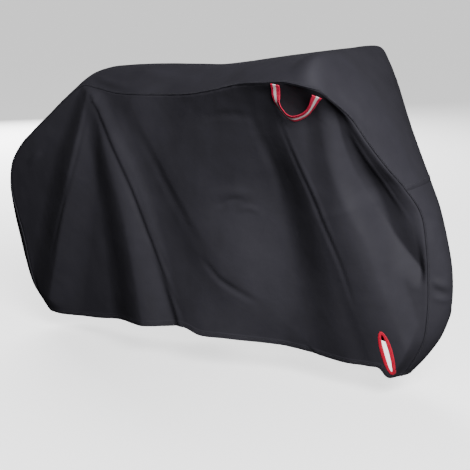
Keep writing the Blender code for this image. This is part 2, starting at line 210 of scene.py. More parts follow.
# Small creases: a path over the cloth, in the side view for the side panels, how wide to either
# side, and how high, below zero for a trough. Each dies away towards its ends.
Crease = namedtuple("Crease", "path width height")
NEAR_CREASES = table(
    Crease,
    (
        ((-0.398, 0.911), (-0.446, 0.717), (-0.504, 0.566), (-0.577, 0.402), (-0.621, 0.295)),
        0.014, -0.0035,
    ),
    (
        ((-0.356, 0.880), (-0.239, 0.684), (-0.146, 0.465), (-0.035, 0.241), (0.014, 0.167)),
        0.013, -0.0040,
    ),
    (((-0.330, 0.860), (-0.220, 0.684), (-0.128, 0.465), (-0.020, 0.250)), 0.013, -0.0025),
    (
        ((-0.210, 0.873), (-0.144, 0.769), (-0.053, 0.624), (0.009, 0.536), (0.089, 0.427)),
        0.030, -0.0035,
    ),
    (((0.068, 0.423), (0.144, 0.347), (0.218, 0.305), (0.278, 0.272)), 0.020, -0.0050),
    (
        ((0.369, 0.948), (0.437, 0.766), (0.486, 0.641), (0.564, 0.455), (0.618, 0.277)),
        0.013, -0.0045,
    ),
    (((0.395, 0.900), (0.465, 0.720), (0.520, 0.590), (0.575, 0.450)), 0.014, 0.0025),
    (
        ((0.269, 0.971), (0.294, 0.878), (0.320, 0.800), (0.343, 0.719), (0.352, 0.600)),
        0.030, -0.0030,
    ),
    (((0.600, 0.880), (0.640, 0.800), (0.700, 0.690), (0.760, 0.590)), 0.012, 0.0035),
    (((0.126, 0.594), (0.151, 0.606), (0.191, 0.626), (0.233, 0.624)), 0.016, -0.0026),
    (((0.110, 0.620), (0.191, 0.650), (0.268, 0.640)), 0.028, 0.0026),
    (((0.200, 0.590), (0.240, 0.600), (0.285, 0.585)), 0.018, 0.0022),
    (((-0.719, 0.649), (-0.680, 0.680), (-0.641, 0.706)), 0.024, 0.0040),
    (((0.100, 0.885), (0.200, 0.905), (0.300, 0.900)), 0.022, -0.0030),
)
FAR_CREASES = table(
    Crease,
    (((-0.372, 0.905), (-0.250, 0.700), (-0.150, 0.420)), 0.012, -0.0035),
    (((0.395, 0.930), (0.440, 0.640), (0.520, 0.340)), 0.011, -0.0030),
    (((0.590, 0.860), (0.640, 0.750), (0.700, 0.640)), 0.014, 0.0035),
    (((0.020, 0.660), (0.090, 0.690), (0.180, 0.680)), 0.018, -0.0035),
    (((-0.100, 0.880), (0.060, 0.860), (0.230, 0.900)), 0.030, 0.0040),
)
TOP_CREASES = table(
    Crease,
    (
        (
            (-0.420, -0.060, 0.990), (-0.357, -0.087, 0.975),
            (-0.287, -0.106, 0.964), (-0.190, -0.128, 0.960),
        ),
        0.024, -0.0060,
    ),
    (
        (
            (-0.250, -0.060, 1.013), (-0.173, -0.083, 1.009),
            (-0.100, -0.104, 0.999), (0.060, -0.130, 0.998),
        ),
        0.034, -0.0055,
    ),
    (((-0.400, 0.070, 0.985), (-0.310, 0.100, 0.966), (-0.210, 0.122, 0.962)), 0.026, -0.0055),
    (((-0.120, 0.070, 1.020), (0.000, 0.110, 1.000), (0.140, 0.150, 1.010)), 0.036, -0.0055),
    (((0.560, -0.285, 1.010), (0.605, -0.228, 0.948), (0.675, -0.131, 0.859)), 0.035, 0.0030),
    (((0.570, 0.270, 1.000), (0.615, 0.200, 0.945), (0.690, 0.090, 0.850)), 0.035, 0.0030),
    (((0.470, -0.180, 1.095), (0.430, 0.000, 1.093), (0.470, 0.190, 1.096)), 0.060, 0.0040),
    (((-0.560, -0.080, 0.890), (-0.640, 0.000, 0.850), (-0.700, 0.070, 0.770)), 0.030, -0.0035),
    (((-0.470, 0.060, 0.960), (-0.540, 0.010, 0.930), (-0.600, -0.060, 0.850)), 0.024, 0.0030),
    (((-0.860, -0.050, 0.600), (-0.872, 0.000, 0.560), (-0.862, 0.050, 0.500)), 0.025, -0.0030),
)
FRONT_CREASES = table(
    Crease,
    (((0.818, -0.068, 0.420), (0.848, -0.048, 0.402), (0.873, -0.010, 0.380)), 0.020, -0.0060),
    (((0.820, -0.067, 0.392), (0.849, -0.047, 0.377), (0.873, -0.008, 0.358)), 0.013, 0.0030),
    (((0.822, -0.064, 0.362), (0.850, -0.046, 0.352), (0.874, -0.006, 0.342)), 0.013, -0.0035),
    (((0.832, 0.055, 0.350), (0.862, 0.030, 0.320), (0.870, 0.000, 0.270)), 0.016, -0.0035),
    (((0.790, -0.080, 0.620), (0.830, -0.030, 0.600), (0.840, 0.030, 0.580)), 0.020, 0.0030),
)
FOLD_SAMPLES, CREASE_SAMPLES = 80, 40  # steps along a fold's path and along a crease's

# Small soft wrinkles: how closely they lie along x, y and z, their size, where in the noise they
# start, and how high and how close the finer ones on them are, as multiples of theirs
SIDE_SPACING, SIDE_WRINKLE, SIDE_SEED = (1.0, 1.0, 0.8), 0.09, 3.0
STRIP_SPACING, STRIP_WRINKLE, STRIP_SEED = (0.5, 1.0, 0.5), 0.06, 9.0
EVEN_SPACING, SIDE_EDGE_SEED, STRIP_EDGE_SEED = (1.0, 1.0, 1.0), 5.0, 11.0
SEED_STEPS, FINE_HEIGHT, FINE_CLOSENESS = (1.0, 1.7, 2.3), 0.5, 2.1

EDGE_CALM = 0.030  # folds die away over this distance from the seams
SEAM_TUCK, SEAM_ROLL = 0.0026, 0.008  # cloth turns in this far at a seam, over this distance
PUCKER, PUCKER_SIZE, PUCKER_REACH = 0.0007, 0.020, 0.030  # gathering beside seams and hems
HEM_STEP, HEM_BLEND = 0.0009, 0.004  # a hem stands this much proud, and how softly it ends
# Seam allowance of the strip behind its neighbours: how far past the seam, and how far inside
ALLOWANCE = ((0.0004, 0.0018), (0.0030, 0.0034), (0.0080, 0.0042))
PANEL_MIDDLE = np.array((0.0, 0.0, 0.55))  # where the allowances point
# Stitches: their distance from a hem's edge, from a seam and from the binding's outer edge, and
# the sizes of one, drawn coarser than the thread is so that it shows
HEM_STITCH, SEAM_STITCH, BINDING_STITCH = 0.0130, 0.0055, 0.0030
STITCH_PITCH, STITCH_LENGTH, STITCH_WIDTH, STITCH_LIFT = 0.0038, 0.0030, 0.0009, 0.0001
EDGE_PULL = 2.5  # how quickly the bow of the front and rear seams dies away over a side panel

# The bound eyelet low at the front of each side panel
EYELET_X, EYELET_Z, EYELET_TILT = 0.710, 0.172, 0.24
EYELET_LONG, EYELET_SHORT = 0.078, 0.021  # half of the binding's outer length and width
EYELET_HOLE_INSET = 0.0075  # the cloth's cut edge lies this far in, inside the folded binding
CUTTER_DEPTH, CLEAR_OF_MIDDLE = 0.12, 0.01  # reach of the tool that cuts it, and where it ends

# The binding's section, folded round the cloth's edge: how far in from its outline, and how far
# out from the cloth's inner face
BindingPoint = namedtuple("BindingPoint", "inset height")
BINDING = table(
    BindingPoint,
    (0.0004, 0.00165),
    (0.0035, 0.00185),
    (0.0080, 0.00205),
    (0.0115, 0.00185),
    (0.0131, 0.00140),
    (0.0136, 0.00075),
    (0.0131, 0.00010),
    (0.0115, -0.00035),
    (0.0080, -0.00045),
    (0.0035, -0.00030),
    (0.0004, -0.00015),
)
TAPE = 0.0005  # thickness of the binding tape

# Pitch of the yarns and size of the clouds, worn places and crinkles in millimetres, and the
# depth of the relief in metres. A wave texture's bands are WAVE_BAND apart at a scale of 1.
CLOTH_YARN, TAPE_YARN, WEBBING_YARN = 0.8, 1.0, 1.5
CLOTH_CLOUD, CLOTH_WEAR, CLOTH_CRINKLE, TAPE_CLOUD, THREAD_CLOUD = 70, 45, 26, 8, 5
CLOUD_DETAIL, SMALL_CLOUD_DETAIL, CRINKLE_DETAIL = 3.0, 2.0, 4.0
WAVE_BAND = math.tau / 20
CLOTH_RIB, TAPE_RIB, WEBBING_RIB, CRINKLE_DEPTH = 0.00004, 0.00015, 0.00030, 0.0008

# How far the tone goes from the darkest to the lightest place, as shares of the colour, and how
# rough the surfaces are
CLOTH_TONES, TAPE_TONES, THREAD_TONES = (0.78, 1.12), (0.85, 1.15), (0.75, 1.25)
CLOTH_ROUGHNESS, TAPE_ROUGHNESS, THREAD_ROUGHNESS = (0.70, 0.82), 0.75, 0.5
WEBBING_ROUGHNESS, STRIPE_ROUGHNESS = 0.70, 0.32
CLOTH_SPECULAR, TAPE_SPECULAR, TAPE_SHEEN = 0.2, 0.15, 0.04
# The reflective stripe's share of the width, how softly it ends, and how much of the ribs shows
STRIPE_SHARE, STRIPE_BLUR, STRIPE_RELIEF = 0.36, 0.0004, 0.1

# The reflective webbing loop under the near front corner: its path seen from the side, how far
# it stands off the panel, and its turn out of the panel's plane
StrapPoint = namedtuple("StrapPoint", "x z stand_off turn")
STRAP = table(
    StrapPoint,
    (0.403, 1.0135, 0.0030, 0.00),
    (0.402, 1.005, 0.0035, 0.00),
    (0.399, 0.992, 0.0050, 0.02),
    (0.397, 0.978, 0.0080, 0.10),
    (0.397, 0.963, 0.0120, 0.40),
    (0.404, 0.947, 0.0170, 0.72),
    (0.414, 0.932, 0.0200, 0.82),
    (0.427, 0.919, 0.0220, 0.86),
    (0.443, 0.913, 0.0225, 0.90),
    (0.462, 0.917, 0.0225, 1.06),
    (0.484, 0.928, 0.0210, 1.22),
    (0.504, 0.945, 0.0190, 1.26),
    (0.519, 0.961, 0.0170, 1.20),
    (0.531, 0.975, 0.0150, 1.08),
    (0.541, 0.986, 0.0125, 0.92),
)

# Grid steps of each sheet, along and across it; rows lie closer together beside seams and hems
SIDE_STEPS, TOP_STEPS, FRONT_STEPS = (256, 168), (300, 80), (110, 64)
EDGE_SHARE, EDGE_STEPS = 0.028, 14
EYELET_STEPS, STRAP_STEPS = 96, (120, 16)
MERGE_DISTANCE = 0.00001

# The camera and the stage
CAMERA_AZIMUTH, CAMERA_ELEVATION, CAMERA_DISTANCE = 28.0, 14.5, 3.19
CAMERA_AIM = Vector((0.109, 0.0, 0.458 - LOWEST_HEM))
CAMERA_LENS, CAMERA_SENSOR = 70.4, 36.0
WORLD_LIGHT, WORLD_SEEN = 0.05, 1.0  # how bright the world shines, and how bright it looks
FLOOR_SIZE, PAPER_ROUGHNESS, PAPER_GLOW = 3000.0, 0.9, 1.0
WHITE = (1, 1, 1, 1)
StudioLight = namedtuple("StudioLight", "name place size watts")
KEY_LIGHT = StudioLight("key", (2.6, -2.4, 2.45), 2.2, 410)
FILL_LIGHT = StudioLight("fill", (-4.2, 4.0, 2.8), 4.5, 1100)


def linear(code):
    """The linear red, green and blue of an sRGB hex colour."""
    parts = [int(code[i : i + 2], 16) / 255 for i in (0, 2, 4)]
    return tuple(
        part / 12.92 if part <= 0.04045 else ((part + 0.055) / 1.055) ** 2.4 for part in parts
    )


def set_inputs(tree, node, **values):
    """Sets inputs of a shader node, each to a value or by a link from a socket."""
    for name, value in values.items():
        number = name[1:]
        socket = node.inputs[int(number) if number.isdigit() else name.replace("_", " ")]
        if isinstance(value, bpy.types.NodeSocket):
            tree.links.new(value, socket)
        else:
            socket.default_value = value


def add_node(tree, kind, settings=None, **values):
    """Adds a shader node with its settings, and its inputs as values or as sockets to link."""
    node = tree.nodes.new(kind)
    for name, value in (settings or {}).items():
        setattr(node, name, value)
    set_inputs(tree, node, **values)
    return node


class CoverSizes(bpy.types.PropertyGroup):
    cloth: bpy.props.FloatProperty(
        name="Cloth", description="Thickness of the coated cloth",
        default=0.0015, unit="LENGTH", precision=4,
    )
    folds: bpy.props.FloatProperty(
        name="Folds", description="How strongly the folds stand out", default=1.0, subtype="FACTOR"
    )
    wrinkles: bpy.props.FloatProperty(
        name="Wrinkles", description="Height of the small wrinkles",
        default=0.0012, unit="LENGTH", precision=4,
    )
    hem: bpy.props.FloatProperty(
        name="Hem", description="Depth of the turned hem", default=0.017, unit="LENGTH", precision=4
    )
    webbing: bpy.props.FloatProperty(
        name="Webbing", description="Width of the webbing loop",
        default=0.030, unit="LENGTH", precision=4,
    )
    webbing_thickness: bpy.props.FloatProperty(
        name="Webbing thickness", description="Thickness of the webbing",
        default=0.0016, unit="LENGTH", precision=4,
    )


class CoverColours(bpy.types.PropertyGroup):
    cloth: bpy.props.FloatVectorProperty(
        name="Cloth", description="Coated polyester", default=linear("26252b"), subtype="COLOR"
    )
    binding: bpy.props.FloatVectorProperty(
        name="Binding", description="Eyelet binding tape", default=linear("b50b2e"), subtype="COLOR"
    )
    webbing: bpy.props.FloatVectorProperty(
        name="Webbing", description="Webbing beside its stripe",
        default=linear("c81640"), subtype="COLOR",
    )
    stripe: bpy.props.FloatVectorProperty(
        name="Stripe", description="Reflective stripe", default=linear("e8dcde"), subtype="COLOR"
    )
    thread: bpy.props.FloatVectorProperty(
        name="Thread", description="Sewing thread", default=linear("303034"), subtype="COLOR"
    )
    floor: bpy.props.FloatVectorProperty(
        name="Floor", description="Studio floor", default=linear("f4f4f5"), subtype="COLOR"
    )


def distances(line):
    """How far along a line each of its points lies."""
    return np.cumsum(np.pad(np.linalg.norm(np.diff(line, axis=0), axis=1), (1, 0)))


def unit(vectors):
    """Vectors in the same directions, with a length of 1."""
    return vectors / np.linalg.norm(vectors, axis=-1, keepdims=True)


def smooth_curve(points):
    """Points, knots and slopes of a smooth curve, whose first three columns are places."""
    points = np.array(points, float)
    knots = distances(points[:, :3])
    return points, knots, np.gradient(points, knots, axis=0)


def along(curve, first, last, shares):
    """Rows on the curve between two of its knots, in either direction, at shares of the way."""
    points, knots, slopes = curve
    places = knots[first] + (knots[last] - knots[first]) * shares
    i = np.clip(np.searchsorted(knots, places, side="right") - 1, 0, len(knots) - 2)
    span = (knots[i + 1] - knots[i])[:, None]
    t = (places - knots[i])[:, None] / span
    start_share = (1 + 2 * t) * (1 - t) ** 2
    bend = t * (1 - t) * span * ((1 - t) * slopes[i] - t * slopes[i + 1])
    return start_share * points[i] + (1 - start_share) * points[i + 1] + bend


def spread(steps):
    """Shares of the way from 0 to 1, closer together at the start and at the end."""
    start = np.linspace(0, EDGE_SHARE, EDGE_STEPS + 1)
    middle = np.linspace(EDGE_SHARE, 1 - EDGE_SHARE, steps - 2 * EDGE_STEPS + 1)
    end = np.linspace(1 - EDGE_SHARE, 1, EDGE_STEPS + 1)
    return np.concatenate([start[:-1], middle, end[1:]])


STRIP_CURVE = smooth_curve(SECTIONS)


def seam_points(side, first, last, shares):
    """Points on one side's seam between two sections."""
    rows = along(STRIP_CURVE, first, last, shares)
    return np.stack([rows[:, 0], side * rows[:, 1], rows[:, 2]], axis=1)


def smooth_share(distance, reach):
    """Rises softly from 0 to 1 as distance goes from 0 to reach."""
    share = np.clip(distance / reach, 0, 1)
    return share * share * (3 - 2 * share)


def fold_height(fold, x, z):
    """How far one fold lifts the cloth at the points (x, z) of the side view."""
    start, passes, end = (np.array(point, float) for point in (fold.start, fold.passes, fold.end))
    control = 2 * passes - (start + end) / 2
    t = np.linspace(0, 1, FOLD_SAMPLES + 1)[:, None]
    path = (1 - t) ** 2 * start + 2 * t * (1 - t) * control + t**2 * end
    slope = unit(np.gradient(path, axis=0))
    places = np.stack([x, z], axis=-1)
    distance = np.full(x.shape, np.inf)
    done, aside, ahead = np.zeros((3, *x.shape))
    for i, (point, tangent) in enumerate(zip(path, slope)):
        offset = places - point
        away = offset[..., 0] ** 2 + offset[..., 1] ** 2
        closer = away < distance
        distance = np.where(closer, away, distance)
        forward = offset @ tangent
        done = np.where(closer, i / FOLD_SAMPLES, done)
        ahead = np.where(closer, forward, ahead)
        aside = np.where(closer, offset[..., 1] * tangent[0] - offset[..., 0] * tangent[1], aside)
    length = np.linalg.norm(np.diff(path, axis=0), axis=1).sum()
    done = np.clip(done + ahead / length, 0, 1)
    beyond = np.where((done <= 0) | (done >= 1), np.abs(ahead), 0.0)
    stations = (0, 0.5, 1)
    rear = np.interp(done, stations, fold.rear_widths)
    front = np.interp(done, stations, fold.front_widths)
    near = np.clip(1 - np.hypot(aside, beyond) / np.where(aside < 0, rear, front), 0, 1)
    sharp = np.where(aside < 0, *fold.sharp)
    height = np.interp(done, stations, fold.heights)
    return height * near * near * (3 - 2 * near + sharp * 2 * (near - 1))


def grid_normals(points):
    """Unit normals of a grid of points."""
    along_it = np.gradient(points, axis=0)
    across_it = np.gradient(points, axis=1)
    return unit(np.cross(along_it, across_it))


def wrinkle_heights(points, spacing, size, seed):
    """Small soft wrinkles of the cloth, from about -1 to 1, stretched along some axes."""
    heights = np.zeros(points.shape[:2])
    shift = Vector([seed * step for step in SEED_STEPS])
    for i, row in enumerate(points):
        for j, point in enumerate(row):
            place = Vector(point * spacing) / size + shift
            heights[i, j] = noise.noise(place) + FINE_HEIGHT * noise.noise(place * FINE_CLOSENESS)
    return heights


def crease_heights(points, creases):
    """How far the small creases lift the cloth at a grid of points."""
    lift = np.zeros(points.shape[:2])
    shares = np.linspace(0, 1, CREASE_SAMPLES + 1)
    for crease in creases:
        path = along(smooth_curve(crease.path), 0, len(crease.path) - 1, shares)
        heading = np.gradient(path, axis=0)
        pace = np.linalg.norm(heading, axis=1)
        heading /= pace[:, None]
        nearest = np.argmin(np.linalg.norm(points[..., None, :] - path, axis=-1), axis=-1)
        offset = points - path[nearest]
        ahead = (offset * heading[nearest]).sum(axis=-1)
        aside = np.linalg.norm(offset - ahead[..., None] * heading[nearest], axis=-1)
        done = np.clip((nearest + ahead / pace[nearest]) / CREASE_SAMPLES, 0, 1)
        lift += crease.height * np.sin(np.pi * done) * (1 - smooth_share(aside, crease.width))
    return lift


def edge_heights(points, seams, hem, hem_depth, seed):
    """The roll of the cloth into its seams, its gathers beside them, and the step of its hem."""
    at_seam = np.min([np.linalg.norm(points - seam, axis=-1) for seam in seams], axis=0)
    at_hem = np.linalg.norm(points - hem, axis=-1)
    gathered = 1 - smooth_share(np.minimum(at_seam, at_hem), PUCKER_REACH)
    lift = PUCKER * gathered * wrinkle_heights(points, EVEN_SPACING, PUCKER_SIZE, seed)
    lift += HEM_STEP * (1 - smooth_share(at_hem - hem_depth, HEM_BLEND))
    return lift - SEAM_TUCK * (1 - smooth_share(at_seam, SEAM_ROLL))


def side_points(side, hem, folds, creases, hem_depth, fold_share, wrinkles):
    """A grid of points over a side panel, from the rear seam to the front one and upwards."""
    steps, rows = SIDE_STEPS
    forward, upward = spread(steps), spread(rows)
    low = along(smooth_curve(hem), 0, len(hem) - 1, forward) * (1, side, 1)
    high = seam_points(side, REAR_CORNER, FRONT_CORNER, forward)
    back = seam_points(side, REAR_HEM, REAR_CORNER, upward)
    front = seam_points(side, FRONT_HEM, FRONT_CORNER, upward)
    u = forward[:, None, None]
    v = upward[None, :, None]
    across = (1 - v) * low[:, None] + v * high[:, None]
    back_bow = back[None] - ((1 - v) * low[0] + v * high[0])
    front_bow = front[None] - ((1 - v) * low[-1] + v * high[-1])
    points = across + (1 - u) ** EDGE_PULL * back_bow + u**EDGE_PULL * front_bow
    seams = (back[None], front[None], high[:, None])
    reach = np.min([np.linalg.norm(points - seam, axis=-1) for seam in seams], axis=0)
    lift = wrinkles * wrinkle_heights(points, SIDE_SPACING, SIDE_WRINKLE, SIDE_SEED + side)
    lift += fold_share * crease_heights(points[..., (0, 2)], creases)
    for fold in folds:
        lift += fold_share * fold_height(fold, points[..., 0], points[..., 2])
    lift = smooth_share(reach, EDGE_CALM) * lift
    lift += edge_heights(points, seams, low[:, None], hem_depth, SIDE_EDGE_SEED + side)
    points[..., 1] += side * lift
    return points


def strip_points(first, last, steps, columns, creases, hem_depth, wrinkles):
    """A grid of points over the strip between a hem and the cross seam, from its near seam."""
    rows = along(STRIP_CURVE, first, last, spread(steps))[:, None, :]
    share = np.sin((spread(columns) - 0.5) * np.pi)[None, :]
    square = np.where(share < 0, np.maximum(2, NEAR_SOFTNESS * rows[..., 5]), rows[..., 5])
    rise = 1 - np.abs(share) ** square
    x = rows[..., 0] + (rows[..., 3] - rows[..., 0]) * rise
    z = rows[..., 2] + (rows[..., 4] - rows[..., 2]) * rise
    points = np.stack([x, rows[..., 1] * share, z], axis=-1)
    hem, cross_seam = points[:1], points[-1:]
    if first == CROSS_SEAM:
        hem, cross_seam = cross_seam, hem
    seams = (points[:, :1], points[:, -1:], cross_seam)
    reach = np.min([np.linalg.norm(points - seam, axis=-1) for seam in seams], axis=0)
    lift = wrinkles * wrinkle_heights(points, STRIP_SPACING, STRIP_WRINKLE, STRIP_SEED)
    lift = smooth_share(reach, EDGE_CALM) * (lift + crease_heights(points, creases))
    lift += edge_heights(points, seams, hem, hem_depth, STRIP_EDGE_SEED)
    points = points + grid_normals(points) * lift[..., None]
    if first == CROSS_SEAM:
        points = np.concatenate([allowance(points[0], points[0] - points[2])[::-1], points])
    near, far = points[:, 0], points[:, -1]
    near = allowance(near, into_panel(near)).transpose(1, 0, 2)
    far = allowance(far, into_panel(far)).transpose(1, 0, 2)
    return np.concatenate([near[:, ::-1], points, far], axis=1)


def into_panel(seam):
    """The way from each point of a seam over the side panel beside it."""
    way = PANEL_MIDDLE - seam
    way[:, 1] = 0
    return way


def allowance(edge, way):
    """Rows of a seam allowance that goes on from an edge, inside the neighbouring panel."""
    way = unit(way)
    inwards = PANEL_MIDDLE - edge
    inwards = unit(inwards - way * (inwards * way).sum(axis=1)[:, None])
    return np.array([edge + way * along_it + inwards * inside for along_it, inside in ALLOWANCE])


def edge_row(points, depth):
    """The line over a cloth this far from the edge where its columns start, and its normals."""
    reached = [distances(column) for column in points]
    normals = grid_normals(points)
    normals *= np.sign(((points - PANEL_MIDDLE) * normals).sum(axis=-1, keepdims=True))
    line = [
        [np.interp(depth, at, column[:, axis]) for axis in range(3)]
        for at, column in zip(reached, points)
    ]
    outwards = [row[np.searchsorted(at, depth)] for at, row in zip(reached, normals)]
    return np.array(line), np.array(outwards)


def new_object(name, data):
    """A new object in the scene."""
    made = bpy.data.objects.new(name, data)
    bpy.context.scene.collection.objects.link(made)
    return made


def mesh_object(name, mesh):
    """A new object with the mesh that a bmesh holds. The bmesh is freed."""
    data = bpy.data.meshes.new(name)
    mesh.to_mesh(data)
    mesh.free()
    return new_object(name, data)


def sew(name, rows, lift, material):
    """A thread's stitches along rows over the cloth, this far above its inner face."""
    mesh = bmesh.new()
    size = Matrix.Diagonal((STITCH_LENGTH / 2, STITCH_WIDTH / 2, STITCH_WIDTH / 2, 1.0))
    for line, outwards in rows:
        reached = distances(line)
        for at in np.arange(STITCH_PITCH, reached[-1] - STITCH_PITCH / 2, STITCH_PITCH):
            start, end = (
                Vector([np.interp(place, reached, line[:, axis]) for axis in range(3)])
                for place in (at - STITCH_LENGTH / 2, at + STITCH_LENGTH / 2)
            )
            outward = Vector(outwards[np.searchsorted(reached, at)])
            heading = (end - start).normalized()
            across = outward.cross(heading).normalized()
            turn = Matrix((heading, across, heading.cross(across))).transposed().to_4x4()
            place = (start + end) / 2 + outward * (lift + STITCH_LIFT) - Vector((0, 0, LOWEST_HEM))
            bmesh.ops.create_icosphere(
                mesh, subdivisions=1, radius=1.0, matrix=Matrix.Translation(place) @ turn @ size
            )
    thread = mesh_object(name, mesh)
    thread.data.shade_smooth()
    finish(thread, material)
    return thread


def sheet(name, points, thickness, closed=False, flip=False):
    """A cloth sheet over a grid of points, thickened outwards, with its own flat lengths as UV."""
    steps, rows = points.shape[0] - 1, points.shape[1] - 1
    mesh = bmesh.new()
    bmesh.ops.create_grid(mesh, x_segments=steps, y_segments=rows, size=0.5)
    lengths, widths = distances(points[:, rows // 2]), distances(points[steps // 2])
    places = {}
    for vert in mesh.verts:
        column, row = round((vert.co.x + 0.5) * steps), round((vert.co.y + 0.5) * rows)
        places[vert.index] = (lengths[column], widths[row])
        vert.co = Vector(points[column, row]) - Vector((0, 0, LOWEST_HEM))
    flat = mesh.loops.layers.uv.new("UVMap")
    for face in mesh.faces:
        for corner in face.loops:
            corner[flat].uv = places[corner.vert.index]
    if closed:
        bmesh.ops.remove_doubles(mesh, verts=mesh.verts, dist=MERGE_DISTANCE)
    if flip:
        bmesh.ops.reverse_faces(mesh, faces=mesh.faces)
    made = mesh_object(name, mesh)
    made.data.shade_smooth()
    solidify = made.modifiers.new("cloth_thickness", "SOLIDIFY")
    solidify.thickness = thickness
    solidify.offset = 1.0
    return made


def apply_modifiers(made):
    """Makes a piece's modifiers part of its mesh."""
    bpy.context.view_layer.update()
    graph = bpy.context.evaluated_depsgraph_get()
    data = bpy.data.meshes.new_from_object(made.evaluated_get(graph))
    made.modifiers.clear()
    made.data = data
    data.name = made.name


SURFACES = {}  # the inner face of each side panel, which the bindings and the webbing lie on


def surface_of(made):
    """The bare surface of a sheet, to be measured across the middle."""
    verts = [vert.co[:] for vert in made.data.vertices]
    return BVHTree.FromPolygons(verts, [face.vertices[:] for face in made.data.polygons])


def on_panel(side, x, z):
    """The place and outward normal on a side panel's inner face, at (x, z) of the side view."""
    start = Vector((x, side, z - LOWEST_HEM))
    place, normal, _, _ = SURFACES[side].ray_cast(start, Vector((0, -side, 0)))
    if normal.y * side < 0:
        normal.negate()
    return place + Vector((0, 0, LOWEST_HEM)), normal


def eyelet_outline(angle, inset):
    """A point of the eyelet's outline in the side view, so far in from its binding's outer edge."""
    along_it = (EYELET_LONG - inset) * math.cos(angle)
    across_it = (EYELET_SHORT - inset) * math.sin(angle)
    x = EYELET_X - along_it * math.sin(EYELET_TILT) + across_it * math.cos(EYELET_TILT)
    z = EYELET_Z + along_it * math.cos(EYELET_TILT) + across_it * math.sin(EYELET_TILT)
    return x, z


def cut_eyelet(panel, side):
    """Cuts the eyelet's hole through a side panel."""
    mesh = bmesh.new()
    bmesh.ops.create_cone(
        mesh, cap_ends=True, segments=EYELET_STEPS, radius1=1, radius2=1, depth=CUTTER_DEPTH
    )
    short, long = EYELET_SHORT - EYELET_HOLE_INSET, EYELET_LONG - EYELET_HOLE_INSET
    size = Matrix.Diagonal((short, long, 1.0, 1.0))
    stand = Matrix.Rotation(np.pi / 2, 4, "X")
    tilt = Matrix.Rotation(-EYELET_TILT, 4, "Y")
    middle = side * (CUTTER_DEPTH / 2 + CLEAR_OF_MIDDLE)
    place = Matrix.Translation((EYELET_X, middle, EYELET_Z - LOWEST_HEM))
    bmesh.ops.transform(mesh, matrix=place @ tilt @ stand @ size, verts=mesh.verts)
    bmesh.ops.recalc_face_normals(mesh, faces=mesh.faces)
    cutter = mesh_object("eyelet_cutter", mesh)
    boolean = panel.modifiers.new("eyelet_hole", "BOOLEAN")
    boolean.operation = "DIFFERENCE"
    boolean.solver = "EXACT"
    boolean.object = cutter
    apply_modifiers(panel)
    bpy.data.objects.remove(cutter)


def per_mm(size):
    """A texture's scale for a pattern of this size in millimetres, in coordinates in metres."""
    return 1000 / size


def clouded(tree, place, size, detail, ends):
    """A value that drifts between these ends, in clouds of this size in millimetres."""
    cloud = add_node(tree, "ShaderNodeTexNoise", Vector=place, Scale=per_mm(size), Detail=detail)
    return add_node(
        tree, "ShaderNodeMapRange",
        Value=cloud.outputs["Fac"], To_Min=ends[0], To_Max=ends[1],
    ).outputs["Result"]


def new_material(name):
    """A material, with its node tree and its shader."""
    made = bpy.data.materials.new(name)
    made.use_nodes = True
    return made, made.node_tree, made.node_tree.nodes["Principled BSDF"]


# Polyester oxford, plain-woven and coated with polyurethane on its inside. It is a satin black
# that turns dark grey where light rakes its folds, with no sharp highlight. Handling leaves it
# faintly cloudy, and packing leaves it crinkled. Its yarns are 0.3 mm apart, too fine to show,
# and are drawn 0.8 mm apart.
def black_cloth_material():
    """The panels' coated polyester oxford."""
    made, tree, shader = new_material("coated_polyester_oxford")
    black = bpy.context.scene.cover_colours.cloth
    place = add_node(tree, "ShaderNodeTexCoord").outputs["Object"]
    flat = add_node(tree, "ShaderNodeUVMap", {"uv_map": "UVMap"}).outputs["UV"]
    tone = clouded(tree, place, CLOTH_CLOUD, CLOUD_DETAIL, CLOTH_TONES)
    gloss = clouded(tree, place, CLOTH_WEAR, CLOUD_DETAIL, CLOTH_ROUGHNESS)
    colour = add_node(tree, "ShaderNodeVectorMath", {"operation": "SCALE"}, _0=black, Scale=tone)
    crinkle = add_node(
        tree, "ShaderNodeTexNoise",
        Vector=place, Scale=per_mm(CLOTH_CRINKLE), Detail=CRINKLE_DETAIL,
    )
    crinkled = add_node(
        tree, "ShaderNodeBump", Height=crinkle.outputs["Fac"], Distance=CRINKLE_DEPTH
    )
    yarns = per_mm(CLOTH_YARN) * WAVE_BAND
    warp = add_node(tree, "ShaderNodeTexWave", {"bands_direction": "X"}, Vector=flat, Scale=yarns)
    weft = add_node(tree, "ShaderNodeTexWave", {"bands_direction": "Y"}, Vector=flat, Scale=yarns)
    weave = add_node(
        tree, "ShaderNodeMath", {"operation": "MULTIPLY"},
        _0=warp.outputs["Fac"], _1=weft.outputs["Fac"],
    )
    woven = add_node(
        tree, "ShaderNodeBump",
        Height=weave.outputs["Value"], Distance=CLOTH_RIB, Normal=crinkled.outputs["Normal"],
    )
    set_inputs(
        tree, shader, Base_Color=colour.outputs["Vector"], Roughness=gloss,
        Specular_IOR_Level=CLOTH_SPECULAR, Normal=woven.outputs["Normal"],
    )
    return made


